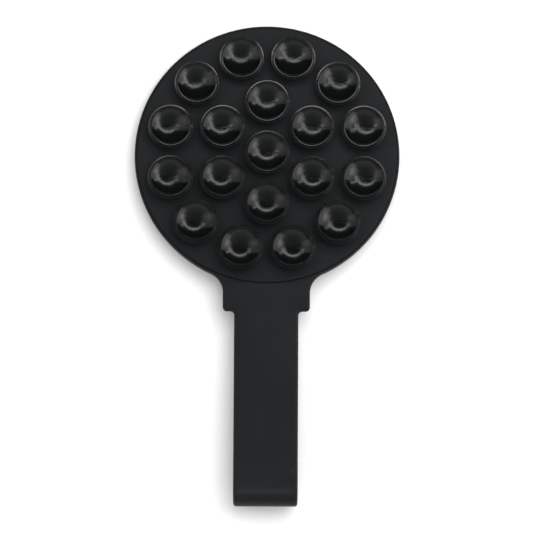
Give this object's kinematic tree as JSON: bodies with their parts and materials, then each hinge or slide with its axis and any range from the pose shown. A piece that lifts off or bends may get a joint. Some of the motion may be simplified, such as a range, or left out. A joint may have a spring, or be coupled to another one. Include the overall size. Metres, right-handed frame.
{
  "type": "suction cup holder with hanging hook",
  "caption": "Flat black paddle whose round end carries a pad of small suction cups, with a strap that ends in a U-shaped hook for hanging it over an edge.",
  "frame": {"origin": "centre of the round end's flat back face", "axes": "+Z from the back to the suction cups, +Y from the hook to the round end, +X to the right seen from the cups' side"},
  "size_m": [0.0754, 0.1378, 0.0153],
  "materials": {
    "paddle_rubber": "matte black moulded rubber with a faint even grain",
    "silicone_sheet": "matte black silicone sheet",
    "silicone_cup": "glossy black silicone, polished in the bowl",
    "spring_steel": "cold-rolled spring steel, unseen inside the moulding",
    "adhesive": "translucent silicone adhesive, unseen under the pad"
  },
  "bodies": {
    "holder": {"paddle": "paddle_rubber", "spring_core": "spring_steel", "adhesive_disc": "adhesive", "pad_sheet": "silicone_sheet"},
    "cup_01": {"suction_cup_01": "silicone_cup"},
    "cup_02": {"suction_cup_02": "silicone_cup"},
    "cup_03": {"suction_cup_03": "silicone_cup"},
    "cup_04": {"suction_cup_04": "silicone_cup"},
    "cup_05": {"suction_cup_05": "silicone_cup"},
    "cup_06": {"suction_cup_06": "silicone_cup"},
    "cup_07": {"suction_cup_07": "silicone_cup"},
    "cup_08": {"suction_cup_08": "silicone_cup"},
    "cup_09": {"suction_cup_09": "silicone_cup"},
    "cup_10": {"suction_cup_10": "silicone_cup"},
    "cup_11": {"suction_cup_11": "silicone_cup"},
    "cup_12": {"suction_cup_12": "silicone_cup"},
    "cup_13": {"suction_cup_13": "silicone_cup"},
    "cup_14": {"suction_cup_14": "silicone_cup"},
    "cup_15": {"suction_cup_15": "silicone_cup"},
    "cup_16": {"suction_cup_16": "silicone_cup"},
    "cup_17": {"suction_cup_17": "silicone_cup"},
    "cup_18": {"suction_cup_18": "silicone_cup"},
    "cup_19": {"suction_cup_19": "silicone_cup"}
  },
  "joints": [
    {"name": "cup_01_squash", "type": "slide", "parent": "holder", "child": "cup_01", "axis": [0, 0, -1], "range_m": [0, 0.0018], "stiffness_N_per_m": 800, "deforming": ["suction_cup_01"]},
    {"name": "cup_02_squash", "type": "slide", "parent": "holder", "child": "cup_02", "axis": [0, 0, -1], "range_m": [0, 0.0018], "stiffness_N_per_m": 800, "deforming": ["suction_cup_02"]},
    {"name": "cup_03_squash", "type": "slide", "parent": "holder", "child": "cup_03", "axis": [0, 0, -1], "range_m": [0, 0.0018], "stiffness_N_per_m": 800, "deforming": ["suction_cup_03"]},
    {"name": "cup_04_squash", "type": "slide", "parent": "holder", "child": "cup_04", "axis": [0, 0, -1], "range_m": [0, 0.0018], "stiffness_N_per_m": 800, "deforming": ["suction_cup_04"]},
    {"name": "cup_05_squash", "type": "slide", "parent": "holder", "child": "cup_05", "axis": [0, 0, -1], "range_m": [0, 0.0018], "stiffness_N_per_m": 800, "deforming": ["suction_cup_05"]},
    {"name": "cup_06_squash", "type": "slide", "parent": "holder", "child": "cup_06", "axis": [0, 0, -1], "range_m": [0, 0.0018], "stiffness_N_per_m": 800, "deforming": ["suction_cup_06"]},
    {"name": "cup_07_squash", "type": "slide", "parent": "holder", "child": "cup_07", "axis": [0, 0, -1], "range_m": [0, 0.0018], "stiffness_N_per_m": 800, "deforming": ["suction_cup_07"]},
    {"name": "cup_08_squash", "type": "slide", "parent": "holder", "child": "cup_08", "axis": [0, 0, -1], "range_m": [0, 0.0018], "stiffness_N_per_m": 800, "deforming": ["suction_cup_08"]},
    {"name": "cup_09_squash", "type": "slide", "parent": "holder", "child": "cup_09", "axis": [0, 0, -1], "range_m": [0, 0.0018], "stiffness_N_per_m": 800, "deforming": ["suction_cup_09"]},
    {"name": "cup_10_squash", "type": "slide", "parent": "holder", "child": "cup_10", "axis": [0, 0, -1], "range_m": [0, 0.0018], "stiffness_N_per_m": 800, "deforming": ["suction_cup_10"]},
    {"name": "cup_11_squash", "type": "slide", "parent": "holder", "child": "cup_11", "axis": [0, 0, -1], "range_m": [0, 0.0018], "stiffness_N_per_m": 800, "deforming": ["suction_cup_11"]},
    {"name": "cup_12_squash", "type": "slide", "parent": "holder", "child": "cup_12", "axis": [0, 0, -1], "range_m": [0, 0.0018], "stiffness_N_per_m": 800, "deforming": ["suction_cup_12"]},
    {"name": "cup_13_squash", "type": "slide", "parent": "holder", "child": "cup_13", "axis": [0, 0, -1], "range_m": [0, 0.0018], "stiffness_N_per_m": 800, "deforming": ["suction_cup_13"]},
    {"name": "cup_14_squash", "type": "slide", "parent": "holder", "child": "cup_14", "axis": [0, 0, -1], "range_m": [0, 0.0018], "stiffness_N_per_m": 800, "deforming": ["suction_cup_14"]},
    {"name": "cup_15_squash", "type": "slide", "parent": "holder", "child": "cup_15", "axis": [0, 0, -1], "range_m": [0, 0.0018], "stiffness_N_per_m": 800, "deforming": ["suction_cup_15"]},
    {"name": "cup_16_squash", "type": "slide", "parent": "holder", "child": "cup_16", "axis": [0, 0, -1], "range_m": [0, 0.0018], "stiffness_N_per_m": 800, "deforming": ["suction_cup_16"]},
    {"name": "cup_17_squash", "type": "slide", "parent": "holder", "child": "cup_17", "axis": [0, 0, -1], "range_m": [0, 0.0018], "stiffness_N_per_m": 800, "deforming": ["suction_cup_17"]},
    {"name": "cup_18_squash", "type": "slide", "parent": "holder", "child": "cup_18", "axis": [0, 0, -1], "range_m": [0, 0.0018], "stiffness_N_per_m": 800, "deforming": ["suction_cup_18"]},
    {"name": "cup_19_squash", "type": "slide", "parent": "holder", "child": "cup_19", "axis": [0, 0, -1], "range_m": [0, 0.0018], "stiffness_N_per_m": 800, "deforming": ["suction_cup_19"]}
  ]
}
